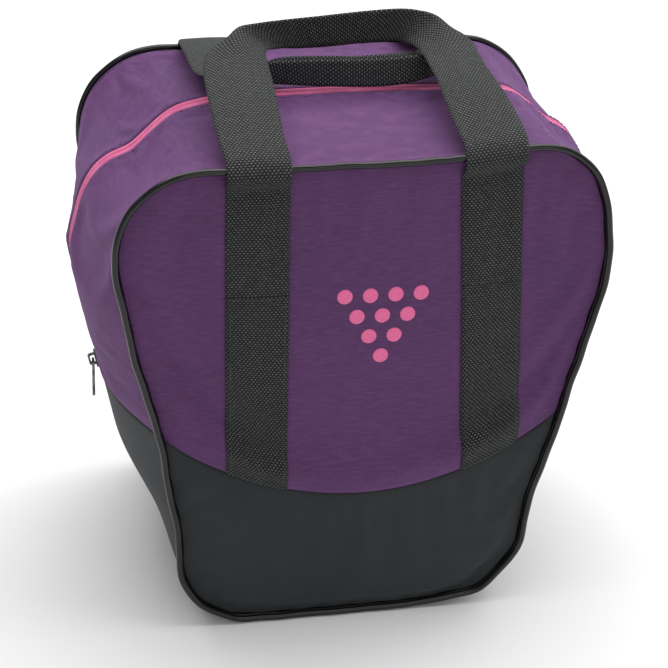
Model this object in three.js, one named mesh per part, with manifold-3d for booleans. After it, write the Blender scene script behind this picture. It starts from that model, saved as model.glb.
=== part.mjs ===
// Single-ball bowling tote bag: two soft half shells on a black boot, joined by a zip
// that runs over the top, with one webbing carry loop sewn to each half.
//
// Millimetres, +Z up, the front face looks along -Y, the origin is on the ground under
// the middle of the base.

import * as THREE from 'three';
import { mergeVertices } from 'three/addons/utils/BufferGeometryUtils.js';
import Module from 'manifold-3d';

const wasm = await Module();
wasm.setup();

// ---------------------------------------------------------------- driving dimensions

// Body: a rounded trapezoid seen from the front, the same from front to back.
const HEIGHT = 331;
const DEPTH = 214;
const TOP_HALF_WIDTH = 176;      // where the sides would meet the top without rounding
const BASE_HALF_WIDTH = 104;     // where the sides would meet the base without rounding
const TOP_RADIUS = 57;
const BASE_RADIUS = 36;
const CROWN = 8;                 // how far the front and back panels swell
const SIDE_BULGE = 25;           // how far the side gusset swells
const CORNER_SAG = 12;           // how far the gusset pulls in at the top corners
const TOP_CROWN = 9;             // how far the gusset rises in the middle of the top

// Where the coloured half shells meet the boot.
const SEAM_Z = 147;
const PANEL_SEAM_DIP = 48;
const GUSSET_SEAM_LIFT = 2.5;     // raises the gusset's seam, which its swell carries down
const SEAM_FADE = 40;            // the gusset seam's lift fades out over this height

// Sheet goods.
const GAP = 0.3;
const FABRIC = 1.2;
const FOAM = 3;
const FOAM_MARGIN = 7;
const RIM = 1.7;                 // the gusset starts this far behind the panel's face

// Piping bead along the panel edges.
const BEAD_RADIUS = 2.1;
const BEAD_OUT = 1;
const BEAD_FORWARD = 2.5;
const BEAD_LOW_GAP = 0.3;
const BEAD_HIGH_GAP = 1.4;

// Seam tape on the inside edges.
const BINDING_RADIUS = 1.5;
const BINDING_INSET = 6;
const BINDING_DEPTH = 9;
const BINDING_START = 6;

// Webbing.
const WEBBING_WIDTH = 40;
const WEBBING = 1.6;
const STRAP_LIFT = 0.35;
const STRAP_TOP_Z = 319;
const STRAP_BOTTOM_CLEAR = 2.5;
const LEFT_STRAP = { top: -73, bottom: -71 };
const RIGHT_STRAP = { top: 75, bottom: 86 };

// Zip: tape halves, coil halves and the slider.
const ZIP_HALF_GAP = 0.6;
const ZIP_START = 16;            // the moving halves' zip starts this far above the seam
const TAPE = 0.6;
const TAPE_DEPTH = 1.8;
const TAPE_HALF_WIDTH = 14;
const COIL = 1.4;
const COIL_DEPTH = -0.2;
const COIL_HALF_WIDTH = 2.7;
const GUSSET_EDGE = 5.2;         // distance of the gusset's zip edge from the centre line
const SLIDER_LENGTH = 10;
const SLIDER_Z = 151;

// Sewn-in end of the zip, measured from the slider's middle along the zip line.
const END_TOP = 5.7;
const END_STEP = -7.6;           // wide below this, narrow between the gussets above it
const END_BOTTOM = -15;
const END_SLOT_FLOOR = -6.5;
const END_NARROW = 4.6;
const END_WIDE = 9;

// Base insert.
const BOARD_THICKNESS = 3;
const BOARD_FLOOR = 1.6;
const BOARD_INSET = 12;          // clear of the front and back panels
const BOARD_CORNER = 14;
const RING_HEIGHT = 22;
const RING_INNER = 55;
const RING_OUTER = 84;
const RING_OUTER_CHAMFER = 6;
const RING_INNER_CHAMFER = 8;

// Carry loops: side profiles as [distance in from the bead, height above the bead].
const FRONT_LOOP = [[0, 3.4], [24.5, 14], [59.5, 25], [104.5, 34], [147.5, 38]];
const BACK_LOOP = [[0, 3.4], [39.5, 13], [79.5, 17.5], [127.5, 11]];
const FRONT_GRIP_X = { left: -62, right: 60 };
const BACK_GRIP_X = { left: -72, right: 73 };

// How finely the outline paths are divided.
const SIDE_STEP = 17;
const ARC_STEPS = 8;
const LEVEL_STEPS = 6;
const SHORTEST_STEP = 3;
const LEVEL_RUN = 2;             // side run, corner, level run, corner, side run

// ---------------------------------------------------------------- derived dimensions

const SIDE_SLOPE = (TOP_HALF_WIDTH - BASE_HALF_WIDTH) / HEIGHT;
const SIDE_TILT = Math.atan(SIDE_SLOPE);
const BEAD_Y = DEPTH / 2 + BEAD_FORWARD;
const BEAD_TOP_Z = HEIGHT + BEAD_OUT;
const FRONT = -1;
const BACK = 1;

// Centre of the corner circle that touches the slanted side and a level edge at edgeZ.
function cornerCentre(grow, radius, edgeZ, inward) {
  const z = edgeZ + inward * radius;
  const x = BASE_HALF_WIDTH + grow / Math.cos(SIDE_TILT) + SIDE_SLOPE * z - radius / Math.cos(SIDE_TILT);
  return { x, z };
}

function sideX(z, grow = 0) {
  return BASE_HALF_WIDTH + SIDE_SLOPE * z + grow / Math.cos(SIDE_TILT);
}

// Half width of the front outline at height z.
function halfWidth(z) {
  const low = cornerCentre(0, BASE_RADIUS, 0, 1);
  const high = cornerCentre(0, TOP_RADIUS, HEIGHT, -1);
  if (z < low.z - BASE_RADIUS * Math.sin(SIDE_TILT)) {
    return low.x + Math.sqrt(Math.max(0, BASE_RADIUS ** 2 - (z - low.z) ** 2));
  }
  if (z > high.z - TOP_RADIUS * Math.sin(SIDE_TILT)) {
    return high.x + Math.sqrt(Math.max(0, TOP_RADIUS ** 2 - (z - high.z) ** 2));
  }
  return sideX(z);
}

// ---------------------------------------------------------------- outline paths (x, z)

// From the left seam up, over the top and down to the right seam.
function upperPath(startZ, grow = 0) {
  const radius = TOP_RADIUS + grow;
  const corner = cornerCentre(grow, radius, HEIGHT + grow, -1);
  const path = new THREE.Path();
  path.moveTo(-sideX(startZ, grow), startZ);
  path.lineTo(-corner.x - radius * Math.cos(SIDE_TILT), corner.z - radius * Math.sin(SIDE_TILT));
  path.absarc(-corner.x, corner.z, radius, Math.PI + SIDE_TILT, Math.PI / 2, true);
  path.absarc(corner.x, corner.z, radius, Math.PI / 2, -SIDE_TILT, true);
  path.lineTo(sideX(startZ, grow), startZ);
  return path;
}

// From the left seam down, under the base and up to the right seam.
function lowerPath(startZ, grow = 0, floorZ = 0) {
  const radius = BASE_RADIUS + grow;
  const corner = cornerCentre(grow, radius, floorZ, 1);
  const path = new THREE.Path();
  path.moveTo(-sideX(startZ, grow), startZ);
  path.lineTo(-corner.x - radius * Math.cos(SIDE_TILT), corner.z - radius * Math.sin(SIDE_TILT));
  path.absarc(-corner.x, corner.z, radius, Math.PI + SIDE_TILT, Math.PI * 1.5, false);
  path.absarc(corner.x, corner.z, radius, -Math.PI / 2, -SIDE_TILT, false);
  path.lineTo(sideX(startZ, grow), startZ);
  return path;
}

// Fractions along a path where every piece that follows it has its cross-sections. On the
// side runs they are counted from the corner, so pieces that start at different heights match.
function stations(path) {
  const ends = path.getCurveLengths();
  const marks = new Set([0, ends.at(-1)]);
  path.curves.forEach((curve, index) => {
    const end = ends[index];
    const start = index === 0 ? 0 : ends[index - 1];
    let step = SIDE_STEP;
    if (curve.isEllipseCurve) step = (end - start) / ARC_STEPS;
    if (index === LEVEL_RUN) step = (end - start) / LEVEL_STEPS;
    for (let mark = 0; mark < end - start - SHORTEST_STEP; mark += step) {
      marks.add(index === 0 ? end - mark : start + mark);
    }
  });
  return [...marks].sort((a, b) => a - b).map((mark) => mark / ends.at(-1));
}

// ---------------------------------------------------------------- surface shape

// How far the gusset stands out at the middle of its width, at an outline point.
function gussetSwell(point, normal) {
  const rise = THREE.MathUtils.smoothstep(point.y, 15, 110);
  const fall = 1 - THREE.MathUtils.smoothstep(point.y, 235, 300);
  const side = SIDE_BULGE * rise * fall * Math.min(1, Math.abs(normal.x) / Math.cos(SIDE_TILT));
  if (point.y < HEIGHT / 2) return side;
  const facingUp = Math.max(0, normal.y);
  const corner = CORNER_SAG * (2 * Math.abs(normal.x) * facingUp) ** 2;
  const top = TOP_CROWN * facingUp ** 4 * (1 - (point.x / TOP_HALF_WIDTH) ** 2);
  return side - corner + top;
}

function acrossFade(y) {
  return 1 - (2 * y / DEPTH) ** 2;
}

function gussetSeamLift(y, z) {
  return GUSSET_SEAM_LIFT * acrossFade(y) * Math.max(0, 1 - Math.abs(z - SEAM_Z) / SEAM_FADE);
}

function panelCrown(x, z) {
  const across = 1 - (x / halfWidth(z)) ** 2;
  const upDown = 1 - (2 * z / HEIGHT - 1) ** 4;
  return CROWN * Math.max(0, across) * Math.max(0, upDown) ** 2;
}

function panelSeamZ(x) {
  return SEAM_Z - PANEL_SEAM_DIP * Math.max(0, 1 - (x / sideX(SEAM_Z)) ** 2);
}

// ---------------------------------------------------------------- solid builders

// Moves every corner of a finely divided unit box; fractions run 0 to 1.
function warpedBox(divisions, place) {
  const geometry = new THREE.BoxGeometry(1, 1, 1, ...divisions);
  const position = geometry.attributes.position;
  const point = new THREE.Vector3();
  for (let i = 0; i < position.count; i += 1) {
    point.fromBufferAttribute(position, i).addScalar(0.5);
    position.setXYZ(i, ...place(point.x, point.y, point.z));
  }
  geometry.computeVertexNormals();
  return geometry;
}

// A band wrapped round the body along an outline path, between two distances across.
function band(path, upper, yLow, yHigh, depth, thickness, across, lift = () => 0) {
  const marks = stations(path);
  return warpedBox([marks.length - 1, across, 1], (u, v, w) => {
    const mark = marks[Math.round(u * (marks.length - 1))];
    const point = path.getPointAt(mark);
    const tangent = path.getTangentAt(mark);
    const normal = new THREE.Vector2(-tangent.y, tangent.x).multiplyScalar(upper ? 1 : -1);
    const y = upper ? THREE.MathUtils.lerp(yLow, yHigh, v) : THREE.MathUtils.lerp(yHigh, yLow, v);
    const out = gussetSwell(point, normal) * acrossFade(y) - depth - thickness * (1 - w);
    const z = point.y + normal.y * out;
    const raise = lift(y, z);
    return [point.x + normal.x * out + Math.sign(point.x) * SIDE_SLOPE * raise, y, z + raise];
  });
}

// A crowned sheet on the front or back face, above or below the panel seam.
function panelSheet(facing, upper, inset, depth, thickness, columns, rows) {
  const low = upper ? SEAM_Z + GAP / 2 + inset : inset;
  const high = upper ? HEIGHT - inset : SEAM_Z - GAP / 2 - inset;
  return warpedBox([columns, rows, 1], (a, b, w) => {
    const across = -facing * (2 * a - 1);
    const climb = upper ? Math.sin(b * Math.PI / 2) : 1 - Math.cos(b * Math.PI / 2);
    const level = THREE.MathUtils.lerp(low, high, climb);
    const x = across * (halfWidth(level) - inset);
    const nearSeam = upper ? (1 - climb) ** 2 : climb ** 2;
    const z = level - PANEL_SEAM_DIP * (1 - across ** 2) * nearSeam;
    return [x, facing * (DEPTH / 2 + panelCrown(x, z) - depth - thickness * (1 - w)), z];
  });
}

// A sewn webbing strap lying on a panel.
function strapSheet(facing, line) {
  return warpedBox([2, 12, 1], (a, b, w) => {
    const across = -facing * (a - 0.5) * WEBBING_WIDTH;
    const low = panelSeamZ(line.bottom + across) + STRAP_BOTTOM_CLEAR;
    const z = THREE.MathUtils.lerp(low, STRAP_TOP_Z, b);
    const x = THREE.MathUtils.lerp(line.bottom, line.top, b) + across;
    return [x, facing * (DEPTH / 2 + panelCrown(x, z) + STRAP_LIFT + WEBBING * w), z];
  });
}

// A length of carry-loop webbing over the top, from profile fraction start to 1.
function loopSheet(facing, profile, start, xAt, halfSpan, divisions) {
  const points = profile.map(([inward, rise]) => (
    new THREE.Vector3(0, facing * (BEAD_Y - inward), BEAD_TOP_Z + rise)));
  const curve = new THREE.CatmullRomCurve3(points);
  return warpedBox([1, divisions, 1], (a, b, w) => {
    const fraction = THREE.MathUtils.lerp(start, 1, b);
    const point = curve.getPointAt(fraction);
    const tangent = curve.getTangentAt(fraction);
    const normal = new THREE.Vector3(0, -tangent.z, tangent.y).multiplyScalar(-facing);
    const x = xAt(fraction) + -facing * (2 * a - 1) * halfSpan;
    return [x, point.y + normal.y * WEBBING * w, point.z + normal.z * WEBBING * w];
  });
}

// A round rod along an outline path at one distance across the body.
function rod(path, y, radius, quarterSides) {
  const marks = stations(path);
  const steps = marks.length - 1;
  const curve = new THREE.Curve();
  curve.getUtoTmapping = (fraction) => fraction;
  curve.getPoint = (t, target = new THREE.Vector3()) => {
    const place = THREE.MathUtils.clamp(t, 0, 1) * steps;
    const index = Math.min(Math.floor(place), steps - 1);
    const point = path.getPointAt(THREE.MathUtils.lerp(marks[index], marks[index + 1], place - index));
    return target.set(point.x, y, point.y);
  };
  const section = new THREE.Shape();
  section.absarc(0, 0, radius, 0, Math.PI * 2, false);
  return new THREE.ExtrudeGeometry(section, { steps, extrudePath: curve, curveSegments: quarterSides });
}

function joined(first, second) {
  const [a, b] = [first, second].map((geometry) => {
    const bare = geometry.clone();
    bare.deleteAttribute('normal');
    bare.deleteAttribute('uv');
    const merged = mergeVertices(bare, 1e-3);
    return new wasm.Manifold(new wasm.Mesh({
      numProp: 3,
      vertProperties: new Float32Array(merged.attributes.position.array),
      triVerts: new Uint32Array(merged.index.array),
    }));
  });
  const mesh = a.add(b).getMesh();
  const geometry = new THREE.BufferGeometry();
  geometry.setAttribute('position', new THREE.BufferAttribute(mesh.vertProperties, 3));
  geometry.setIndex(new THREE.BufferAttribute(mesh.triVerts, 1));
  geometry.computeVertexNormals();
  return geometry;
}

// ---------------------------------------------------------------- materials

function look(color, roughness, metalness = 0) {
  return new THREE.MeshStandardMaterial({ color, roughness, metalness });
}

const LOOKS = {
  shell: look(0x5b3a66, 0.85),
  boot: look(0x2f3335, 0.85),
  webbing: look(0x29292a, 0.9),
  piping: look(0x17181a, 0.35),
  zip: look(0xe0709f, 0.6),
  foam: look(0xb9b9b4, 0.95),
  board: look(0x33363a, 0.6),
  binding: look(0x1e1f21, 0.85),
  metal: look(0x3a3c3f, 0.4, 0.8),
};

const bag = new THREE.Group();

function piece(name, geometry, material, parent = bag) {
  const mesh = new THREE.Mesh(geometry, material);
  mesh.name = name;
  parent.add(mesh);
  return mesh;
}

// ---------------------------------------------------------------- boot (fixed part)

function gussetEdges(facing) {
  const edge = facing * (DEPTH / 2 - RIM);
  return edge < 0 ? [edge, -GUSSET_EDGE] : [GUSSET_EDGE, edge];
}

function addBoot() {
  const rim = DEPTH / 2 - RIM;
  const gusset = band(lowerPath(SEAM_Z - GAP / 2), false, -rim, rim, 0, FABRIC, 8, gussetSeamLift);
  piece('boot_gusset', gusset, LOOKS.boot);

  const boardOutline = new THREE.Shape();
  const halfX = cornerCentre(0, BASE_RADIUS, 0, 1).x;
  const halfY = DEPTH / 2 - BOARD_INSET;
  const radius = BOARD_CORNER;
  boardOutline.absarc(halfX - radius, halfY - radius, radius, 0, Math.PI / 2, false);
  boardOutline.absarc(-halfX + radius, halfY - radius, radius, Math.PI / 2, Math.PI, false);
  boardOutline.absarc(-halfX + radius, -halfY + radius, radius, Math.PI, Math.PI * 1.5, false);
  boardOutline.absarc(halfX - radius, -halfY + radius, radius, Math.PI * 1.5, Math.PI * 2, false);
  const board = new THREE.ExtrudeGeometry(
    boardOutline,
    { depth: BOARD_THICKNESS, bevelEnabled: false, curveSegments: 5 },
  );
  piece('base_board', board, LOOKS.board).position.z = BOARD_FLOOR;

  const ringProfile = [
    [RING_INNER, 0],
    [RING_OUTER, 0],
    [RING_OUTER, RING_HEIGHT - RING_OUTER_CHAMFER],
    [RING_OUTER - RING_OUTER_CHAMFER, RING_HEIGHT],
    [RING_INNER + RING_INNER_CHAMFER, RING_HEIGHT],
    [RING_INNER, RING_HEIGHT - RING_INNER_CHAMFER],
    [RING_INNER, 0],
  ].map(([r, z]) => new THREE.Vector2(r, z));
  const ring = new THREE.LatheGeometry(ringProfile, 32);
  ring.rotateX(Math.PI / 2);
  const ringPiece = piece('ball_ring', ring, LOOKS.foam);
  ringPiece.position.z = BOARD_FLOOR + BOARD_THICKNESS + GAP;
}

function addBootFace(facing, prefix) {
  piece(`${prefix}_boot_panel`, panelSheet(facing, false, 0, 0, FABRIC, 12, 10), LOOKS.boot);
  const foamDepth = FABRIC + GAP;
  const foam = panelSheet(facing, false, FOAM_MARGIN, foamDepth, FOAM, 6, 5);
  piece(`${prefix}_boot_foam`, foam, LOOKS.foam);

  const beadPath = lowerPath(SEAM_Z - BEAD_LOW_GAP, BEAD_OUT, BEAD_RADIUS + BEAD_LOW_GAP);
  piece(`${prefix}_piping_lower`, rod(beadPath, facing * BEAD_Y, BEAD_RADIUS, 4), LOOKS.piping);

  const tapePath = lowerPath(SEAM_Z - BINDING_START, -BINDING_INSET, BINDING_INSET + BOARD_THICKNESS);
  const tapeY = facing * (DEPTH / 2 - BINDING_DEPTH);
  piece(`${prefix}_boot_binding`, rod(tapePath, tapeY, BINDING_RADIUS, 3), LOOKS.binding);
}

// The zip's closed end: wide where it is sewn behind the boot, narrow between the two
// gussets, and slotted for the slider's post.
function addZipEnd(name, side) {
  const outline = new THREE.Shape();
  outline.moveTo(-END_WIDE, END_BOTTOM);
  outline.lineTo(END_WIDE, END_BOTTOM);
  outline.lineTo(END_WIDE, END_STEP);
  outline.lineTo(END_NARROW, END_STEP);
  outline.lineTo(END_NARROW, END_TOP);
  outline.lineTo(ZIP_HALF_GAP, END_TOP);
  outline.lineTo(ZIP_HALF_GAP, END_SLOT_FLOOR);
  outline.lineTo(-ZIP_HALF_GAP, END_SLOT_FLOOR);
  outline.lineTo(-ZIP_HALF_GAP, END_TOP);
  outline.lineTo(-END_NARROW, END_TOP);
  outline.lineTo(-END_NARROW, END_STEP);
  outline.lineTo(-END_WIDE, END_STEP);
  const patch = new THREE.ExtrudeGeometry(outline, { depth: TAPE, bevelEnabled: false });
  patch.rotateX(Math.PI / 2);
  patch.rotateZ(Math.PI / 2);
  const frame = zipFrame(side);
  piece(name, patch, LOOKS.zip, frame).position.x = -side * (TAPE_DEPTH + TAPE / 2) - TAPE / 2;
}

// A frame on the side's zip line: local z runs up the side, local x points to +X.
function zipFrame(side) {
  const frame = new THREE.Group();
  frame.position.set(side * (sideX(SLIDER_Z) + SIDE_BULGE / Math.cos(SIDE_TILT)), 0, SLIDER_Z);
  frame.rotation.y = side * SIDE_TILT;
  bag.add(frame);
  return frame;
}

// ---------------------------------------------------------------- half shells

function addHalf(facing, prefix) {
  piece(`${prefix}_panel`, panelSheet(facing, true, 0, 0, FABRIC, 12, 12), LOOKS.shell);
  const foamDepth = FABRIC + GAP;
  const foam = panelSheet(facing, true, FOAM_MARGIN, foamDepth, FOAM, 6, 6);
  piece(`${prefix}_foam`, foam, LOOKS.foam);

  const [low, high] = gussetEdges(facing);
  const gusset = band(upperPath(SEAM_Z + GAP / 2), true, low, high, 0, FABRIC, 5, gussetSeamLift);
  piece(`${prefix}_gusset`, gusset, LOOKS.shell);

  const beadPath = upperPath(SEAM_Z + BEAD_HIGH_GAP, BEAD_OUT);
  piece(`${prefix}_piping_upper`, rod(beadPath, facing * BEAD_Y, BEAD_RADIUS, 4), LOOKS.piping);

  const tapePath = upperPath(SEAM_Z + BINDING_START, -BINDING_INSET);
  const tapeY = facing * (DEPTH / 2 - BINDING_DEPTH);
  piece(`${prefix}_binding`, rod(tapePath, tapeY, BINDING_RADIUS, 3), LOOKS.binding);

  piece(`${prefix}_strap_left`, strapSheet(facing, LEFT_STRAP), LOOKS.webbing);
  piece(`${prefix}_strap_right`, strapSheet(facing, RIGHT_STRAP), LOOKS.webbing);
  addZipHalf(facing, prefix);
}

function addZipHalf(facing, prefix) {
  const path = upperPath(SEAM_Z + ZIP_START);
  const tapeEdges = [ZIP_HALF_GAP, TAPE_HALF_WIDTH].map((y) => facing * y).sort((a, b) => a - b);
  const coilEdges = [ZIP_HALF_GAP, COIL_HALF_WIDTH].map((y) => facing * y).sort((a, b) => a - b);
  piece(`${prefix}_zip_tape`, band(path, true, ...tapeEdges, TAPE_DEPTH, TAPE, 1), LOOKS.zip);
  piece(`${prefix}_zip_coil`, band(path, true, ...coilEdges, COIL_DEPTH, COIL, 1), LOOKS.zip);
}

// ---------------------------------------------------------------- carry loops

// Two legs and the grip band between them, which spans the last webbing width of the loop.
function addLoop(facing, prefix, profile, gripX) {
  const half = WEBBING_WIDTH / 2;
  const legLines = {
    left: (t) => THREE.MathUtils.lerp(LEFT_STRAP.top, gripX.left, t),
    right: (t) => THREE.MathUtils.lerp(RIGHT_STRAP.top, gripX.right, t),
  };
  for (const [side, legLine] of Object.entries(legLines)) {
    const leg = loopSheet(facing, profile, 0, legLine, half, 10);
    piece(`${prefix}_handle_${side}_leg`, leg, LOOKS.webbing);
  }
  const gripStart = 1 - WEBBING_WIDTH / profile.at(-1)[0];
  const low = Math.max(legLines.left(gripStart), legLines.left(1)) + half + GAP;
  const high = Math.min(legLines.right(gripStart), legLines.right(1)) - half - GAP;
  const grip = loopSheet(facing, profile, gripStart, () => (low + high) / 2, (high - low) / 2, 4);
  piece(`${prefix}_handle_grip`, grip, LOOKS.webbing);
}

// ---------------------------------------------------------------- zip slider and pull

const PLATE_TOP = [-1.9, -0.6];
const PLATE_BOTTOM = [2.8, 3.8];
const PLATE_HALF = 4.2;
const POST_HALF = 0.3;
const BRIDGE_HALF = 4.4;
const BRIDGE_BAR = 1.5;
const BRIDGE_RISE = 4.6;
const BRIDGE_THICKNESS = 1.6;
const PULL_HINGE = { out: 1.55, z: -1.3 };
const PULL_THICKNESS = 1.6;

function sliderGeometry() {
  const section = new THREE.Shape();
  section.moveTo(PLATE_TOP[0], -PLATE_HALF);
  section.lineTo(PLATE_TOP[1], -PLATE_HALF);
  section.lineTo(PLATE_TOP[1], -POST_HALF);
  section.lineTo(PLATE_BOTTOM[0], -POST_HALF);
  section.lineTo(PLATE_BOTTOM[0], 1 - PLATE_HALF);
  section.lineTo(PLATE_BOTTOM[1], 1 - PLATE_HALF);
  section.lineTo(PLATE_BOTTOM[1], PLATE_HALF - 1);
  section.lineTo(PLATE_BOTTOM[0], PLATE_HALF - 1);
  section.lineTo(PLATE_BOTTOM[0], POST_HALF);
  section.lineTo(PLATE_TOP[1], POST_HALF);
  section.lineTo(PLATE_TOP[1], PLATE_HALF);
  section.lineTo(PLATE_TOP[0], PLATE_HALF);
  const body = new THREE.ExtrudeGeometry(section, { depth: SLIDER_LENGTH, bevelEnabled: false });
  body.translate(0, 0, -SLIDER_LENGTH / 2);

  const root = -0.4;
  const shoulder = 1.8;
  const inner = BRIDGE_HALF - BRIDGE_BAR;
  const innerRise = BRIDGE_RISE - BRIDGE_BAR;
  const arch = new THREE.Shape();
  arch.moveTo(-BRIDGE_HALF, root);
  arch.lineTo(-BRIDGE_HALF, shoulder);
  arch.quadraticCurveTo(-BRIDGE_HALF, BRIDGE_RISE, shoulder - BRIDGE_HALF, BRIDGE_RISE);
  arch.lineTo(BRIDGE_HALF - shoulder, BRIDGE_RISE);
  arch.quadraticCurveTo(BRIDGE_HALF, BRIDGE_RISE, BRIDGE_HALF, shoulder);
  arch.lineTo(BRIDGE_HALF, root);
  arch.lineTo(inner, root);
  arch.lineTo(inner, shoulder);
  arch.quadraticCurveTo(inner, innerRise, inner - 1.2, innerRise);
  arch.lineTo(1.2 - inner, innerRise);
  arch.quadraticCurveTo(-inner, innerRise, -inner, shoulder);
  arch.lineTo(-inner, root);
  const bridge = new THREE.ExtrudeGeometry(
    arch,
    { depth: BRIDGE_THICKNESS, bevelEnabled: false, curveSegments: 6 },
  );
  // Shape x runs up the slider, shape y points away from the bag (local -x).
  bridge.translate(0, 0, -BRIDGE_THICKNESS / 2);
  bridge.applyMatrix4(new THREE.Matrix4().makeBasis(
    new THREE.Vector3(0, 0, 1),
    new THREE.Vector3(-1, 0, 0),
    new THREE.Vector3(0, -1, 0),
  ));
  bridge.translate(PLATE_TOP[0], 0, 0);
  return joined(body, bridge);
}

function pullGeometry() {
  const outline = new THREE.Shape();
  outline.moveTo(-2.4, 0.9);
  outline.lineTo(-3.2, 0);
  outline.lineTo(-3.2, -22);
  outline.absarc(0, -24, 3.2, Math.PI, Math.PI * 2, false);
  outline.lineTo(3.2, 0);
  outline.lineTo(2.4, 0.9);
  const eye = new THREE.Path();
  eye.moveTo(-1.3, -0.9);
  eye.lineTo(1.3, -0.9);
  eye.lineTo(1.3, -5);
  eye.lineTo(-1.3, -5);
  outline.holes.push(eye);
  const tab = new THREE.ExtrudeGeometry(
    outline,
    { depth: PULL_THICKNESS, bevelEnabled: false, curveSegments: 8 },
  );
  tab.translate(0, 0, -PULL_THICKNESS / 2);
  tab.rotateX(Math.PI / 2);
  tab.rotateZ(Math.PI / 2);
  return tab;
}

function addSlider() {
  const frame = zipFrame(-1);
  piece('zip_slider', sliderGeometry(), LOOKS.metal, frame);
  const pull = piece('zip_pull', pullGeometry(), LOOKS.metal, frame);
  pull.position.set(PLATE_TOP[0] - PULL_HINGE.out, 0, PULL_HINGE.z);
  pull.rotation.y = SIDE_TILT;
}

// ---------------------------------------------------------------- assembly

addBoot();
addZipEnd('zip_end_left', -1);
addZipEnd('zip_end_right', 1);
for (const [facing, prefix] of [[FRONT, 'front'], [BACK, 'back']]) {
  addBootFace(facing, prefix);
  addHalf(facing, prefix);
}
addLoop(FRONT, 'front', FRONT_LOOP, FRONT_GRIP_X);
addLoop(BACK, 'back', BACK_LOOP, BACK_GRIP_X);
addSlider();

export default bag;
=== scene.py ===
"""Looks of the bowling ball bag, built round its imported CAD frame.

Metres, +Z up, the front face looks along -Y. Every soft piece is a closed sheet or ribbon
that lies on one shared body surface, so neighbours stay together wherever it swells.
"""

import math

import bpy
import numpy as np
from mathutils import Matrix, Vector


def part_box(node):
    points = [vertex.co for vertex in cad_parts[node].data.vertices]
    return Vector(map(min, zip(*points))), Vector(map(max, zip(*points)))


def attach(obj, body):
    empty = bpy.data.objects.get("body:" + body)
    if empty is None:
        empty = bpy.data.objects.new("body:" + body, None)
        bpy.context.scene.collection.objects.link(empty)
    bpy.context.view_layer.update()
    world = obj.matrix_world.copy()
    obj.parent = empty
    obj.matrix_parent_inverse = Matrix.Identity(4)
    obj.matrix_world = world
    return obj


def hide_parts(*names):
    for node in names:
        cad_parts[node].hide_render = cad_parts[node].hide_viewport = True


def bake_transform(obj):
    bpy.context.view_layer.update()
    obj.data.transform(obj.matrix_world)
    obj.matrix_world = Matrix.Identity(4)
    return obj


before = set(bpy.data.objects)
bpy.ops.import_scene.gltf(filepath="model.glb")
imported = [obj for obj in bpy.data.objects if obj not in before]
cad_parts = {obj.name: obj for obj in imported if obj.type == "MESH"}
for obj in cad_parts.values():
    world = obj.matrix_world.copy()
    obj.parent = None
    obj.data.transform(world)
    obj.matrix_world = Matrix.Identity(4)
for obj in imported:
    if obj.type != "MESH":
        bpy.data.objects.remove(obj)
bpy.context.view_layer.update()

MM = 0.001

# ---------------------------------------------------------------- driving dimensions

HEIGHT = 0.331
DEPTH = 0.214
TOP_HALF_WIDTH = 0.176
BASE_HALF_WIDTH = 0.104
TOP_RADIUS = 0.057
BASE_RADIUS = 0.036
CROWN = 0.008
SIDE_BULGE = 0.025
CORNER_SAG = 0.012
TOP_CROWN = 0.009
SEAM_Z = 0.147
PANEL_SEAM_DIP = 0.048
GUSSET_SEAM_LIFT = 0.0025
SEAM_FADE = 0.040

FABRIC = 0.0012
FOAM = 0.003
FOAM_MARGIN = 0.007
SEAM_GAP = 0.0003
RIM = 0.0012                      # the gusset starts this far behind the panel's face

BEAD_RADIUS = 0.0022
BEAD_Y = DEPTH / 2 + 0.0025
BEAD_TOP_Z = HEIGHT + 0.001

WEBBING_WIDTH = 0.040
WEBBING = 0.0016
STRAP_TOP_Z = 0.319
WEBBING_CUP = 0.0004              # the webbing stands this far proud along its middle
WEBBING_EDGES = {"left": 1, "right": -2}           # columns of the grid that carry stitches
THREAD_STAND = 0.00005
THREAD_PROUD = 0.0001
ZIP_STITCH_INSET = 0.0035
STITCH_Z = 0.247                  # crosswise stitch where the carry loop leaves the panel
BEAD_BEND = ((0.0065, 0.0036), (0.0005, 0.0034))   # drop and stand-off where a leg turns over
LEFT_STRAP = (-0.073, -0.071)     # strap centre at the top and at the bottom
RIGHT_STRAP = (0.075, 0.086)

BINDING_INSET = 0.006
BINDING_DEPTH = 0.009             # how far behind a face's plane the seam tape runs
BINDING_FLOOR = 0.009

ZIP_START = 0.016
ZIP_HALF_GAP = 0.0006
ZIP_TAPE_EDGE = 0.014
ZIP_TAPE = 0.0006
ZIP_TAPE_DEPTH = 0.0007
COIL_CLOSING = 0.0008             # how far the coils move in where they interlock
END_NARROW, END_WIDE = 0.0044, 0.0088
SLIDER_RUN_TOP = 0.229            # the slider's post keeps the zip's halves apart below this
COIL_PITCH = 0.0016
COIL_WIRE = 0.00034
COIL_STAND = (-0.0006, 0.00026)   # middle and swing of the coil's turns, out from the fabric
COIL_SIDE = (0.00150, 0.00080)    # and away from the zip's centre line
GUSSET_EDGE = 0.0060
SLOPE = (TOP_HALF_WIDTH - BASE_HALF_WIDTH) / HEIGHT
TILT = math.atan(SLOPE)

# Where fabric turns over the half shells' hinges, and the loops over theirs.
LOOP_FOLD = ((0.112, 0.315), (0.095, 0.340))

FRONT, BACK = -1, 1
SIDES = {"front": FRONT, "back": BACK}

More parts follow.
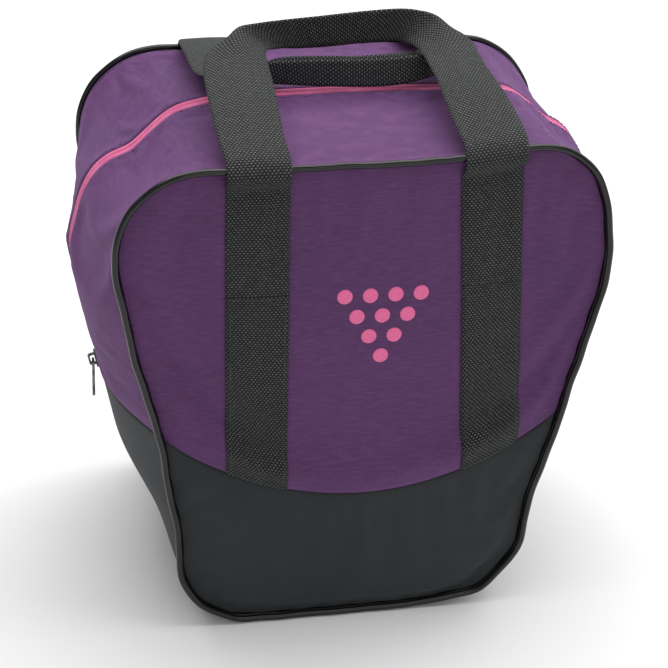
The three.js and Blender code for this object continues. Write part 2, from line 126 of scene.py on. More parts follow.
# Carry loops at rest, left leg to right leg, in millimetres: the outer edge, the middle and
# the inner edge of the webbing, each (x, distance in from the bead, height). The legs lie
# flat; the grip is folded in half lengthwise, up at the front loop and down at the back one.
FRONT_LOOP = [
    ((-93, 4, 338.5), (-73, 4, 339), (-53, 4, 338.5)),
    ((-95, 22, 345), (-74.5, 22, 345.5), (-54, 23, 345)),
    ((-95.5, 52, 354.5), (-74.5, 53, 355.5), (-53, 54, 355)),
    ((-95, 82, 362), (-73.5, 83, 362.5), (-52, 83, 362)),
    ((-92.5, 102, 366), (-72, 102, 367), (-51.5, 101, 365.5)),
    ((-88, 112, 368), (-70, 113, 370.5), (-50.5, 110, 366)),
    ((-80, 121, 369), (-70, 122, 375), (-48.5, 117, 365.5)),
    ((-70, 129, 367), (-65, 129, 378), (-43, 123, 363.5)),
    ((-56, 133, 363), (-54, 131, 380), (-36, 127, 362.5)),
    ((-38, 134, 361.5), (-38, 131.5, 381.5), (-27, 128.5, 361.5)),
    ((-10, 135, 362), (-10, 132, 383.5), (-8, 129.5, 361.5)),
    ((18, 137, 363), (18, 134, 385), (15, 131, 362.5)),
    ((42, 138, 363.5), (43, 135.5, 385.5), (33, 131.5, 363)),
    ((57, 137.5, 364), (57, 135, 384), (42, 129.5, 363.5)),
    ((71, 134, 368), (66, 132, 381), (46, 125, 364)),
    ((80, 126, 370), (71, 127, 377), (49, 117, 365)),
    ((85, 117, 369.5), (71.5, 118, 372), (51, 108, 364.5)),
    ((88, 104, 366), (71, 104, 367.5), (52, 97, 363.5)),
    ((89, 80, 361), (71.5, 76, 361.5), (53, 69, 359)),
    ((92.5, 50, 353.5), (73, 47, 353.5), (53.5, 42, 351.5)),
    ((95, 22, 345), (75, 21, 345), (54.5, 20, 344)),
    ((96, 4, 338.5), (76, 4, 339), (56, 4, 338.5)),
]
BACK_LOOP = [
    ((-93, 4, 338.5), (-73, 4, 339), (-53, 4, 338.5)),
    ((-95, 20, 342.5), (-74.5, 20, 343), (-54, 20, 342.5)),
    ((-95.5, 50, 347), (-74.5, 50, 347.5), (-54, 48, 347)),
    ((-95.5, 78, 349), (-74, 77, 349), (-52.5, 76, 349.5)),
    ((-94, 95, 350), (-72, 93, 348.5), (-51, 88, 351)),
    ((-88, 107, 352), (-67, 104, 346.5), (-48, 97, 355)),
    ((-77, 112, 356), (-60, 109, 345), (-43, 101, 359)),
    ((-62, 112.5, 359.5), (-51, 110.5, 344.5), (-37, 104, 361)),
    ((-44, 111.5, 361), (-40, 112, 344), (-29, 106, 362)),
    ((-18, 112, 361.5), (-17, 115, 343), (-12, 107, 362)),
    ((10, 113, 361), (10, 117.5, 342.3), (8, 108, 361.5)),
    ((34, 112, 361), (34, 117.5, 342.3), (28, 107, 361.5)),
    ((54, 109, 361), (53, 113, 343.5), (42, 103, 361)),
    ((72, 105, 358), (66, 104, 345), (50, 95, 358)),
    ((88, 96, 354), (75, 92, 347.5), (58, 82, 354)),
    ((99, 80, 351), (81, 74, 349.5), (62, 66, 351)),
    ((103, 58, 348.5), (83, 52, 348), (63.5, 46, 348)),
    ((103, 36, 345.5), (83, 32, 345), (63, 26, 344.5)),
    ((101, 18, 342), (81, 16, 342), (61, 15, 341.5)),
    ((98, 4, 338.5), (78, 4, 339), (58, 4, 338.5)),
]


def smoothstep(x, low, high):
    t = np.clip((x - low) / (high - low), 0, 1)
    return t * t * (3 - 2 * t)


def travel(points):
    """Distance along a line of points, from 0 at its start."""
    return np.concatenate([[0], np.cumsum(np.linalg.norm(np.diff(points, axis=0), axis=1))])


def resample(at, along, points):
    return np.stack([np.interp(at, along, column) for column in points.T], 1)


def unit(vectors):
    return vectors / np.linalg.norm(vectors, axis=1, keepdims=True)


def upright(points, y=0.0):
    """(x, z) points as (x, y, z)."""
    return np.stack([points[..., 0], y + 0 * points[..., 0], points[..., 1]], -1)


# ---------------------------------------------------------------- body surface


def corner_centre(grow, radius, edge_z, inward):
    z = edge_z + inward * radius
    return BASE_HALF_WIDTH + (grow - radius) / math.cos(TILT) + SLOPE * z, z


def side_x(z, grow=0.0):
    return BASE_HALF_WIDTH + SLOPE * z + grow / math.cos(TILT)


def half_width(z):
    """Half width of the front outline at each height z."""
    low_x, low_z = corner_centre(0, BASE_RADIUS, 0, 1)
    high_x, high_z = corner_centre(0, TOP_RADIUS, HEIGHT, -1)
    low = low_x + np.sqrt(np.maximum(0, BASE_RADIUS**2 - (z - low_z) ** 2))
    high = high_x + np.sqrt(np.maximum(0, TOP_RADIUS**2 - (z - high_z) ** 2))
    width = np.where(z > high_z - TOP_RADIUS * math.sin(TILT), high, side_x(z))
    return np.where(z < low_z - BASE_RADIUS * math.sin(TILT), low, width)


def outline(upper, start_z, grow=0.0, floor_z=0.0, step=0.002):
    """Points (x, z) and outward normals from the left seam round to the right seam."""
    sign = 1 if upper else -1
    radius = (TOP_RADIUS if upper else BASE_RADIUS) + grow
    centre_x, centre_z = corner_centre(grow, radius, HEIGHT + grow if upper else floor_z, -sign)
    angles = np.linspace(sign * math.pi / 2, -TILT, 60)
    arc_normals = np.stack([np.cos(angles), np.sin(angles)], 1)
    arc = arc_normals * radius + (centre_x, centre_z)
    points = np.vstack([(0, arc[0, 1]), arc, (side_x(start_z, grow), start_z)])
    normals = np.vstack([arc_normals[0], arc_normals, arc_normals[-1]])
    mirror = (-1, 1)
    points = np.vstack([points[:0:-1] * mirror, points])
    normals = np.vstack([normals[:0:-1] * mirror, normals])
    along = travel(points)
    at = np.linspace(0, along[-1], max(8, round(along[-1] / step)))
    return resample(at, along, points), unit(resample(at, along, normals))


def gusset_swell(x, z, normals):
    """How far the gusset stands out at the middle of its width."""
    nx, nz = np.abs(normals[..., 0]), np.maximum(0, normals[..., 1])
    side = SIDE_BULGE * smoothstep(z, 0.015, 0.110) * (1 - smoothstep(z, 0.235, 0.300))
    side = side * np.minimum(1, nx / math.cos(TILT))
    top = TOP_CROWN * nz**4 * (1 - (x / TOP_HALF_WIDTH) ** 2)
    return side + np.where(z > HEIGHT / 2, top - CORNER_SAG * (2 * nx * nz) ** 2, 0)


def panel_crown(x, z):
    across = np.maximum(0, 1 - (x / half_width(z)) ** 2)
    up_down = np.maximum(0, 1 - (2 * z / HEIGHT - 1) ** 4)
    return CROWN * across * up_down**2


def panel_seam_z(x):
    return SEAM_Z - PANEL_SEAM_DIP * np.maximum(0, 1 - (x / side_x(SEAM_Z)) ** 2)


# ---------------------------------------------------------------- relief from cloth


class Relief:
    """How far the fabric stands off its plain surface, looked up on a regular grid."""

    def __init__(self, low, high, values):
        self.low, self.high, self.values = np.array(low), np.array(high), values

    def __call__(self, u, v):
        rows, columns = self.values.shape
        a = np.clip((u - self.low[0]) / (self.high[0] - self.low[0]), 0, 1) * (rows - 1)
        b = np.clip((v - self.low[1]) / (self.high[1] - self.low[1]), 0, 1) * (columns - 1)
        i, j = np.minimum(a.astype(int), rows - 2), np.minimum(b.astype(int), columns - 2)
        s, t = a - i, b - j
        g = self.values
        near = g[i, j] * (1 - t) + g[i, j + 1] * t
        far = g[i + 1, j] * (1 - t) + g[i + 1, j + 1] * t
        return near * (1 - s) + far * s


def grid_faces(rows, columns):
    """Quads of a rows x columns grid of points."""
    index = np.arange(rows * columns).reshape(rows, columns)
    return np.stack([index[:-1, :-1], index[1:, :-1], index[1:, 1:], index[:-1, 1:]], -1).reshape(-1, 4)


def simulate_cloth(points, held, slack, pressure, frames):
    """Lets a grid of cloth settle and returns its points. held is 0 to 1 for each point."""
    rows, columns, _ = points.shape
    mesh = bpy.data.meshes.new("cloth_trial")
    mesh.from_pydata(points.reshape(-1, 3).tolist(), [], grid_faces(rows, columns).tolist())
    cloth = bpy.data.objects.new("cloth_trial", mesh)
    bpy.context.scene.collection.objects.link(cloth)
    group = cloth.vertex_groups.new(name="held")
    for index, weight in enumerate(held.ravel()):
        if weight > 0:
            group.add([index], float(weight), "REPLACE")
    modifier = cloth.modifiers.new("Cloth", "CLOTH")
    settings = modifier.settings
    settings.quality = 6
    settings.mass = 0.25
    settings.tension_stiffness = settings.compression_stiffness = 25
    settings.shear_stiffness = 12
    settings.bending_stiffness = 2.5
    settings.air_damping = 4
    settings.shrink_min = settings.shrink_max = -slack
    settings.vertex_group_mass = "held"
    settings.use_pressure = True
    settings.uniform_pressure_force = pressure
    modifier.collision_settings.use_collision = False
    modifier.point_cache.frame_start, modifier.point_cache.frame_end = 1, frames
    for number in range(1, frames + 1):
        bpy.context.scene.frame_set(number)
    settled = cloth.evaluated_get(bpy.context.evaluated_depsgraph_get()).to_mesh()
    flat = np.zeros(rows * columns * 3, np.float32)
    settled.vertices.foreach_get("co", flat)
    bpy.data.objects.remove(cloth)
    bpy.data.meshes.remove(mesh)
    bpy.context.scene.frame_set(1)
    return flat.reshape(rows, columns, 3).astype(float)


def ripples(u, v, seed):
    """A quiet stand-in for the cloth relief: a few long soft waves."""
    made = np.random.default_rng(seed)
    total = np.zeros(np.broadcast(u, v).shape)
    for _ in range(7):
        wave = made.normal(0, 38, 2)
        total += np.sin(u * wave[0] + v * wave[1] + made.uniform(0, 6.3))
    return total / 7


RELIEF_CAP = 0.0035


def face_relief(facing):
    """Relief of a front or back face over (x, z), held along its rim and along the seam."""
    xs = np.linspace(-TOP_HALF_WIDTH, TOP_HALF_WIDTH, 72)
    zs = np.linspace(0, HEIGHT, 68)
    x, z = np.meshgrid(xs, zs, indexing="ij")
    rim = np.minimum(half_width(z) - np.abs(x), np.minimum(z, HEIGHT - z))
    inside = smoothstep(rim, 0.003, 0.014)
    seam = smoothstep(np.abs(z - panel_seam_z(x)), 0.001, 0.012)
    plain = np.stack([x, facing * (DEPTH / 2 + panel_crown(x, z)), z], -1)
    held = np.clip(1 - inside * (0.35 + 0.65 * seam), 0, 1)
    start = plain.copy()
    start[..., 1] += facing * 0.0004 * ripples(x * 2, z * 2, 5 + facing)
    settled = simulate_cloth(start, np.where(held > 0.5, 1.0, 0.0), 0.012, 0.4 * -facing, 24)
    rise = np.clip((settled - plain)[..., 1] * facing, -RELIEF_CAP, RELIEF_CAP)
    return Relief((xs[0], zs[0]), (xs[-1], zs[-1]), rise * inside * seam)


def gusset_relief(facing):
    """Relief of a half shell's gusset over (share of its length, y)."""
    path, normals = outline(True, SEAM_Z, step=0.0055)
    across = np.linspace(GUSSET_EDGE, DEPTH / 2 - RIM, 20) * facing
    plain = gusset_points(path[:, None], normals[:, None], across[None, :], 0)
    share = np.linspace(0, 1, len(path))
    y, s = np.meshgrid(across, share)
    edge = smoothstep(np.minimum(np.abs(y) - GUSSET_EDGE, DEPTH / 2 - RIM - np.abs(y)), 0, 0.010)
    inside = edge * smoothstep(np.minimum(s, 1 - s), 0.0, 0.02)
    start = plain + 0.0004 * ripples(s, y * 2, 9 + facing)[..., None] * (0, 0, 1)
    settled = simulate_cloth(start, np.where(inside < 0.35, 1.0, 0.0), 0.014, 0.3 * facing, 24)
    rise = np.clip(((settled - plain) * upright(normals)[:, None]).sum(-1), -RELIEF_CAP, RELIEF_CAP)
    if facing < 0:
        rise, inside = rise[:, ::-1], inside[:, ::-1]
    low, high = sorted((across[0], across[-1]))
    return Relief((0, low), (1, high), rise * inside)


def gusset_points(points, normals, y, depth, relief=0.0):
    """Surface points for outline points, their normals and distances y across the bag."""
    fade = 1 - (2 * y / DEPTH) ** 2
    z0 = points[..., 1] + 0 * y
    out = gusset_swell(points[..., 0], z0, normals) * fade - depth + relief
    z = z0 + normals[..., 1] * out
    lift = GUSSET_SEAM_LIFT * fade * np.maximum(0, 1 - np.abs(z - SEAM_Z) / SEAM_FADE)
    x = points[..., 0] + normals[..., 0] * out + np.sign(points[..., 0]) * SLOPE * lift
    return np.stack([x, y + 0 * z, z + lift], -1)


# Soft shifts of the front half: centre x and z, reach in x and z, and how far x and z move.
SHIFTS = [
    (0.106, 0.330, 0.044, 0.060, 0.0, 0.0068),
    (0.172, 0.286, 0.045, 0.032, -0.0085, 0.0),
    (0.145, 0.150, 0.035, 0.110, -0.0030, 0.0),
    (0.118, 0.085, 0.035, 0.030, -0.0040, 0.0),
    (0.108, 0.016, 0.030, 0.020, -0.0075, 0.004),
    (0.082, 0.0, 0.034, 0.012, 0.0, 0.0045),
    (-0.114, 0.044, 0.020, 0.020, -0.0050, -0.003),
    (-0.095, 0.004, 0.020, 0.010, 0.004, 0.0),
    (-0.140, 0.147, 0.020, 0.040, 0.0035, 0.0),
    (-0.165, 0.270, 0.020, 0.060, 0.0020, 0.0),
]


def settle(points):
    """The stuffed bag isn't quite square: how its soft corners have shifted."""
    x, y, z = points[..., 0], points[..., 1], points[..., 2]
    front = smoothstep(-y, -0.02, 0.10)
    moved = points.copy()
    for at_x, at_z, reach_x, reach_z, shift_x, shift_z in SHIFTS:
        share = front * np.exp(-(((x - at_x) / reach_x) ** 2) - ((z - at_z) / reach_z) ** 2)
        moved[..., 0] += share * shift_x
        moved[..., 2] += share * shift_z
    # Along the zip the left shoulder sags, and both upper corners stand fuller.
    middle = np.maximum(0, 1 - (2 * y / DEPTH) ** 2)
    sag = np.exp(-(((x + 0.130) / 0.030) ** 2) - ((z - 0.330) / 0.045) ** 2)
    moved[..., 2] -= 0.0085 * middle * sag
    corner = middle * np.exp(-(((np.abs(x) - 0.152) / 0.024) ** 2) - ((z - 0.306) / 0.030) ** 2)
    corner *= np.where(x > 0, 1.5, 1.0)
    moved[..., 0] += 0.0050 * np.sign(x) * corner
    moved[..., 2] += 0.0070 * corner
    return moved


# ---------------------------------------------------------------- mesh makers


def new_object(name, points, faces, uvs=None, smooth=True, materials=(), slots=None):
    """A mesh object; uvs is one (u, v) for each point, slots a material index for each face."""
    mesh = bpy.data.meshes.new(name)
    mesh.from_pydata(np.asarray(points).tolist(), [], [list(map(int, f)) for f in faces])
    if uvs is not None:
        layer = mesh.uv_layers.new(name="UVMap")
        loops = np.zeros(len(mesh.loops), np.int32)
        mesh.loops.foreach_get("vertex_index", loops)
        layer.data.foreach_set("uv", np.asarray(uvs, np.float32)[loops].ravel())
    for material in materials:
        mesh.materials.append(material)
    if slots is not None:
        mesh.polygons.foreach_set("material_index", np.asarray(slots, np.int32))
    mesh.polygons.foreach_set("use_smooth", [smooth] * len(mesh.polygons))
    mesh.update()
    made = bpy.data.objects.new(name, mesh)
    bpy.context.scene.collection.objects.link(made)
    return made


def grid_normals(grid):
    normal = np.cross(np.gradient(grid, axis=0), np.gradient(grid, axis=1))
    return normal / np.maximum(np.linalg.norm(normal, axis=-1, keepdims=True), 1e-12)


def grid_lengths(grid):
    """Distances along each axis of a grid of points, for UVs in metres."""
    u = np.linalg.norm(np.diff(grid, axis=0), axis=-1).mean(1)
    v = np.linalg.norm(np.diff(grid, axis=1), axis=-1)
    along = np.concatenate([[0], np.cumsum(u)])
    across = np.concatenate([np.zeros((len(grid), 1)), np.cumsum(v, axis=1)], axis=1)
    return np.stack([along[:, None] + 0 * across, across - across[:, -1:] / 2], -1)


def slab(name, grid, thickness, materials, soft_edge=0.0, outward=1, shift=0.0, uv=None):
    """A closed sheet round a grid of points. Its outer face is the first material and its
    inner face the last. soft_edge rounds the two long edges over that share of the width."""
    rows, columns, _ = grid.shape
    normal = grid_normals(grid) * outward
    profile = np.ones(columns)
    if soft_edge:
        reach = np.abs(np.linspace(-1, 1, columns))
        inner = np.clip((reach - (1 - soft_edge)) / soft_edge, 0, 1)
        profile = np.sqrt(np.maximum(0.04, 1 - inner**2))
    half = thickness / 2 * profile[None, :, None]
    outer = grid + normal * (shift + half)
    inner = grid + normal * (shift - half)
    points = np.vstack([outer.reshape(-1, 3), inner.reshape(-1, 3)])
    quads = grid_faces(rows, columns)
    count = rows * columns
    top, bottom = (quads, quads[:, ::-1] + count) if outward > 0 else (quads[:, ::-1], quads + count)
    index = np.arange(count).reshape(rows, columns)
    ring = np.concatenate([index[:, 0], index[-1, 1:], index[::-1, -1][1:], index[0, ::-1][1:-1]])
    after = np.roll(ring, -1)
    rim = np.stack([ring, ring + count, after + count, after], -1)
    if outward < 0:
        rim = rim[:, ::-1]
    faces = np.vstack([top, bottom, rim])
    slots = np.zeros(len(faces))
    slots[len(top):len(top) + len(bottom)] = len(materials) - 1
    uv = grid_lengths(grid) if uv is None else uv
    uvs = np.vstack([uv.reshape(-1, 2)] * 2)
    return new_object(name, points, faces, uvs, materials=materials, slots=slots)


def ring_faces(near, far):
    """Quads between rings of points, each ring closed."""
    return np.stack([near, far, np.roll(far, -1, 1), np.roll(near, -1, 1)], -1).reshape(-1, 4)


def tube(name, line, radius, material, sides=12, closed=False, squash=None):
    """A round tube down a line of points. squash gives its half sizes along two fixed axes."""
    line = np.asarray(line, float)
    if closed:
        tangent = np.roll(line, -1, 0) - np.roll(line, 1, 0)
    else:
        tangent = np.gradient(line, axis=0)
    tangent = unit(tangent)
    side = np.tile((0.0, 1.0, 0.0), (len(line), 1))
    side = unit(side - tangent * (side * tangent).sum(1, keepdims=True))
    up = np.cross(side, tangent)
    angles = np.linspace(0, 2 * math.pi, sides, endpoint=False)[None, :, None]
    a, b = squash or (1.0, 1.0)
    size = np.broadcast_to(np.asarray(radius, float), (len(line),))[:, None, None]
    rings = line[:, None] + size * (a * np.cos(angles) * side[:, None] + b * np.sin(angles) * up[:, None])
    points = rings.reshape(-1, 3)
    rows = len(line)
    index = np.arange(rows * sides).reshape(rows, sides)
    near, far = (index, np.roll(index, -1, 0)) if closed else (index[:-1], index[1:])
    faces = ring_faces(near, far).tolist()
    if not closed:
        faces += [index[0].tolist(), index[-1, ::-1].tolist()]
    around = np.linspace(0, 2 * math.pi * BEAD_RADIUS, sides, endpoint=False)
    uvs = np.stack(np.meshgrid(travel(line), around, indexing="ij"), -1).reshape(-1, 2)
    return new_object(name, points, faces, uvs, materials=[material])


def spline(controls, count):
    """Catmull-Rom points through rows of controls, evenly spaced by their mean length."""
    controls = np.asarray(controls, float)
    before, after = 2 * controls[:1] - controls[1:2], 2 * controls[-1:] - controls[-2:-1]
    padded = np.concatenate([before, controls, after])
    pieces = []
    for k in range(len(controls) - 1):
        p0, p1, p2, p3 = padded[k:k + 4]
        t = np.linspace(0, 1, 24, endpoint=False).reshape(-1, *[1] * (controls.ndim - 1))
        pieces.append(0.5 * (2 * p1 + (p2 - p0) * t + (2 * p0 - 5 * p1 + 4 * p2 - p3) * t**2
                             + (3 * p1 - p0 - 3 * p2 + p3) * t**3))
    dense = np.concatenate([*pieces, controls[-1:]])
    gaps = np.linalg.norm(np.diff(dense, axis=0), axis=-1)
    gaps = gaps.mean(axis=tuple(range(1, gaps.ndim))) if gaps.ndim > 1 else gaps
    along = np.concatenate([[0], np.cumsum(gaps)])
    at = np.linspace(0, along[-1], count)
    return resample(at, along, dense.reshape(len(dense), -1)).reshape(count, *controls.shape[1:])


def stitches(name, line, normals, material, pitch=0.0034, share=0.72, radius=0.00032):
    """A row of thread stitches along a line: each a short capsule that dips in at its ends."""
    line, normals = np.asarray(line, float), np.asarray(normals, float)
    along = travel(line)
    starts = np.arange(pitch * 0.2, along[-1] - pitch * share, pitch)
    sides, rings = 6, 6
    lift = np.sin(np.linspace(0, math.pi, rings))
    points, faces = [], []
    for start in starts:
        at = np.linspace(start, start + pitch * share, rings)
        centre = resample(at, along, line)
        up = unit(resample(at, along, normals))
        side = np.cross(unit(np.gradient(centre, axis=0)), up)
        centre = centre + up * (radius * (1.1 * lift - 0.7))[:, None]
        size = radius * (0.55 + 0.45 * lift)[:, None, None]
        angle = np.linspace(0, 2 * math.pi, sides, endpoint=False)[None, :, None]
        ring = centre[:, None] + size * (np.cos(angle) * side[:, None] + np.sin(angle) * up[:, None])
        base = len(points) * sides * rings
        index = np.arange(sides * rings).reshape(rings, sides) + base
        near, far = index[:-1], index[1:]
        quads = np.stack([near, np.roll(near, -1, 1), np.roll(far, -1, 1), far], -1).reshape(-1, 4)
        faces += quads.tolist() + [index[0, ::-1].tolist(), index[-1].tolist()]
        points.append(ring.reshape(-1, 3))
    return new_object(name, np.vstack(points), faces, materials=[material])


def declare(piece, slot, *nodes, half=None, body="root"):
    """Hides the nodes a piece stands for, and parents the piece to one body; a half shell's piece instead
    has its transform baked into its mesh. slot is not used."""
    if nodes:
        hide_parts(*nodes)
    if half:
        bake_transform(piece)
    else:
        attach(piece, body)


# ---------------------------------------------------------------- materials


def linear(red, green, blue):
    """A colour from sRGB numbers 0 to 255."""
    shares = [value / 255 for value in (red, green, blue)]
    return [((c + 0.055) / 1.055) ** 2.4 if c > 0.04 else c / 12.92 for c in shares] + [1]


class Nodes:
    """Short names for building a material's node tree."""

    def __init__(self, name):
        self.material = bpy.data.materials.new(name)
        self.material.use_nodes = True
        self.tree = self.material.node_tree
        self.shader = self.tree.nodes["Principled BSDF"]

    def link(self, source, target):
        if isinstance(source, (int, float, list, tuple)):
            target.default_value = source
        else:
            self.tree.links.new(source, target)

    def node(self, kind, output=0, inputs=None, **settings):
        made = self.tree.nodes.new(kind)
        for key, value in settings.items():
            setattr(made, key, value)
        for key, value in (inputs or {}).items():
            self.link(value, made.inputs[key])
        return made.outputs[output]

    def math(self, operation, a, b=0.0):
        return self.node("ShaderNodeMath", inputs={0: a, 1: b}, operation=operation)

    def hump(self, value):
        """Rises from 0 to 1 and falls back once for every step of 1 in a value over -100."""
        within = self.math("SUBTRACT", self.math("FRACT", self.math("ADD", value, 100.0)), 0.5)
        edge = self.math("MULTIPLY", self.math("ABSOLUTE", within), 2.0)
        return self.math("SUBTRACT", 1.0, self.math("POWER", edge, 2.0))

    def uv(self):
        """The two UV coordinates, which are metres along and across a piece."""
        split = self.tree.nodes.new("ShaderNodeSeparateXYZ")
        self.link(self.node("ShaderNodeTexCoord", output="UV"), split.inputs[0])
        return split

    def noise(self, scale, detail=3.0, stretch=None, roughness=0.55):
        place = self.node("ShaderNodeTexCoord", output="Object")
        if stretch:
            place = self.node("ShaderNodeMapping", inputs={"Vector": place, "Scale": stretch})
        return self.node("ShaderNodeTexNoise", inputs={
            "Vector": place, "Scale": scale, "Detail": detail, "Roughness": roughness})

    def ramp(self, value, low, high, to_low=0.0, to_high=1.0):
        return self.node("ShaderNodeMapRange", inputs={
            "Value": value, "From Min": low, "From Max": high, "To Min": to_low, "To Max": to_high})

    def mix(self, factor, first, second):
        made = self.tree.nodes.new("ShaderNodeMix")
        made.data_type = "RGBA"
        self.link(factor, made.inputs[0])
        self.link(first, made.inputs[6])
        self.link(second, made.inputs[7])
        return made.outputs[2]

    def bump(self, height, strength, distance, before=None):
        inputs = {"Height": height, "Strength": strength, "Distance": distance}
        if before is not None:
            inputs["Normal"] = before
        return self.node("ShaderNodeBump", inputs=inputs)

    def finish(self, colour, roughness, normal=None, sheen=0.0, sheen_tint=None, specular=0.5,
               metallic=0.0, coat=0.0):
        values = {"Base Color": colour, "Roughness": roughness, "Normal": normal,
                  "Sheen Weight": sheen, "Sheen Tint": sheen_tint, "Specular IOR Level": specular,
                  "Metallic": metallic, "Coat Weight": coat}
        for key, value in values.items():
            if value is not None:
                self.link(value, self.shader.inputs[key])
        return self.material


def weave(nodes, length, pitch, across=False):
    """Height of a plain weave: raised ovals in rows, half a step apart from row to row. The
    rows run along the piece, or across it."""
    uv = nodes.uv()
    u = nodes.math("DIVIDE", uv.outputs[int(across)], length)
    v = nodes.math("DIVIDE", uv.outputs[1 - int(across)], pitch)
    odd = nodes.math("MODULO", nodes.math("ABSOLUTE", nodes.math("FLOOR", v)), 2.0)
    u = nodes.math("ADD", u, nodes.math("MULTIPLY", odd, 0.5))
    hump_u, hump_v = (nodes.hump(value) for value in (u, v))
    return nodes.math("MULTIPLY", hump_u, hump_v)


def fabric(name, colour, light, dark, pitch=0.00085, ribs=1.0, sheen=0.35, tint=None):
    """Coated polyester cloth: a fine weave with painted shade between its yarns, uneven yarns and soft
    clouds of shade.
    """
    nodes = Nodes(name)
    yarn = weave(nodes, pitch, pitch * 0.62)
    slubs = nodes.noise(1.0, 2.0, stretch=(110, 110, 900))
    streaks = nodes.noise(1.0, 1.0, stretch=(900, 900, 60))
    clouds = nodes.noise(11.0, 3.0)
    base = nodes.mix(nodes.ramp(clouds, 0.30, 0.60, 0.35, 1.0), dark, colour)
    base = nodes.mix(nodes.ramp(slubs, 0.42, 0.74, 0.0, 0.36 * ribs), base, light)
    base = nodes.mix(nodes.ramp(streaks, 0.52, 0.78, 0.0, 0.22), base, dark)
    # Painted shade: the colour darkens in the hollows between the weave's yarns.
    base = nodes.mix(nodes.ramp(yarn, 0.0, 0.45, 0.42, 0.0), base, dark)
    rough = nodes.ramp(clouds, 0.3, 0.7, 0.66, 0.80)
    normal = nodes.bump(yarn, 0.55, 0.00016)
    normal = nodes.bump(slubs, 0.20 * ribs, 0.0003, normal)
    normal = nodes.bump(nodes.noise(42.0, 2.0), 0.22, 0.0012, normal)
    return nodes.finish(base, rough, normal, sheen=sheen, sheen_tint=tint or light, specular=0.28)


def webbing_material():
    """Black polypropylene webbing: a coarse basket weave, with painted highlights on its raised yarns and
    painted shade in its hollows.
    """
    nodes = Nodes("webbing")
    cells = weave(nodes, 0.0025, 0.0016, across=True)
    yarn = weave(nodes, 0.0011, 0.0005)
    uneven = nodes.noise(420.0, 2.0)
    dust = nodes.noise(14.0, 4.0)
    raised = nodes.math("MULTIPLY", cells, nodes.ramp(uneven, 0.35, 0.65, 0.78, 1.0))
    # Painted shade: the weave's hollows are coloured near black, its raised cells dark grey.
    colour = nodes.mix(nodes.ramp(raised, 0.12, 0.72), linear(5, 5, 6), linear(26, 28, 29))
    # Painted highlight: pale grey specks on the tops of the raised yarns.
    colour = nodes.mix(nodes.ramp(raised, 0.55, 0.92, 0.0, 0.75), colour, linear(112, 116, 116))
    colour = nodes.mix(nodes.ramp(dust, 0.5, 0.75, 0.0, 0.12), colour, linear(60, 62, 64))
    normal = nodes.bump(raised, 1.0, 0.0007)
    normal = nodes.bump(yarn, 0.4, 0.00012, normal)
    rough = nodes.ramp(raised, 0.2, 0.9, 0.74, 0.46)
    return nodes.finish(colour, rough, normal, sheen=0.03, specular=0.36)


def piping_material():
    nodes = Nodes("piping")
    wear = nodes.noise(130.0, 4.0)
    waves = nodes.noise(28.0, 2.0)
    colour = nodes.mix(nodes.ramp(wear, 0.42, 0.72), linear(6, 6, 7), linear(15, 16, 17))
    rough = nodes.ramp(wear, 0.3, 0.75, 0.16, 0.24)
    normal = nodes.bump(waves, 0.25, 0.0008)
    normal = nodes.bump(nodes.noise(900.0, 2.0), 0.12, 0.0001, normal)
    return nodes.finish(colour, rough, normal, specular=0.38, coat=0.12)


def worn_material(name, dark, light, grain=(1500.0, 2.0), patches=(0.35, 0.65),
                  gloss=(0.3, 0.7, 0.5, 0.7), dents=(0.5, 0.0001), sheen=0.2):
    """A plain surface whose shade, gloss and bumps all follow one noise; thread by default."""
    nodes = Nodes(name)
    wear = nodes.noise(*grain)
    colour = nodes.mix(nodes.ramp(wear, *patches), dark, light)
    return nodes.finish(colour, nodes.ramp(wear, *gloss), nodes.bump(wear, *dents), sheen=sheen)


def zip_tape_material():
    nodes = Nodes("zip_tape")
    rib = weave(nodes, 0.0009, 0.0005)
    clouds = nodes.noise(60.0, 3.0)
    colour = nodes.mix(nodes.ramp(clouds, 0.35, 0.7), linear(206, 88, 140), linear(234, 122, 170))
    # Painted shade: the colour darkens in the hollows between the tape's ribs.
    colour = nodes.mix(nodes.ramp(rib, 0.0, 0.5, 0.45, 0.0), colour, linear(150, 52, 98))
    normal = nodes.bump(rib, 0.6, 0.0002)
    return nodes.finish(colour, 0.72, normal, sheen=0.3, sheen_tint=linear(250, 190, 220), specular=0.3)


def metal_material():
    """Dark plated zinc with rubbed, lighter patches."""
    nodes = Nodes("gunmetal")
    rub = nodes.noise(240.0, 5.0)
    grain = nodes.noise(2600.0, 2.0)
    colour = nodes.mix(nodes.ramp(rub, 0.42, 0.66), linear(62, 64, 68), linear(118, 120, 124))
    rough = nodes.ramp(rub, 0.35, 0.7, 0.42, 0.24)
    return nodes.finish(colour, rough, nodes.bump(grain, 0.25, 0.00006), metallic=0.9, specular=0.5)


def board_material():
    nodes = Nodes("base_board")
    pebble = nodes.node("ShaderNodeTexVoronoi", inputs={
        "Vector": nodes.node("ShaderNodeTexCoord", output="Object"), "Scale": 620.0})
    scuff = nodes.noise(16.0, 5.0)
    colour = nodes.mix(nodes.ramp(scuff, 0.4, 0.7), linear(36, 38, 41), linear(58, 60, 63))
    return nodes.finish(colour, nodes.ramp(scuff, 0.35, 0.7, 0.5, 0.72), nodes.bump(pebble, 0.35, 0.0003))


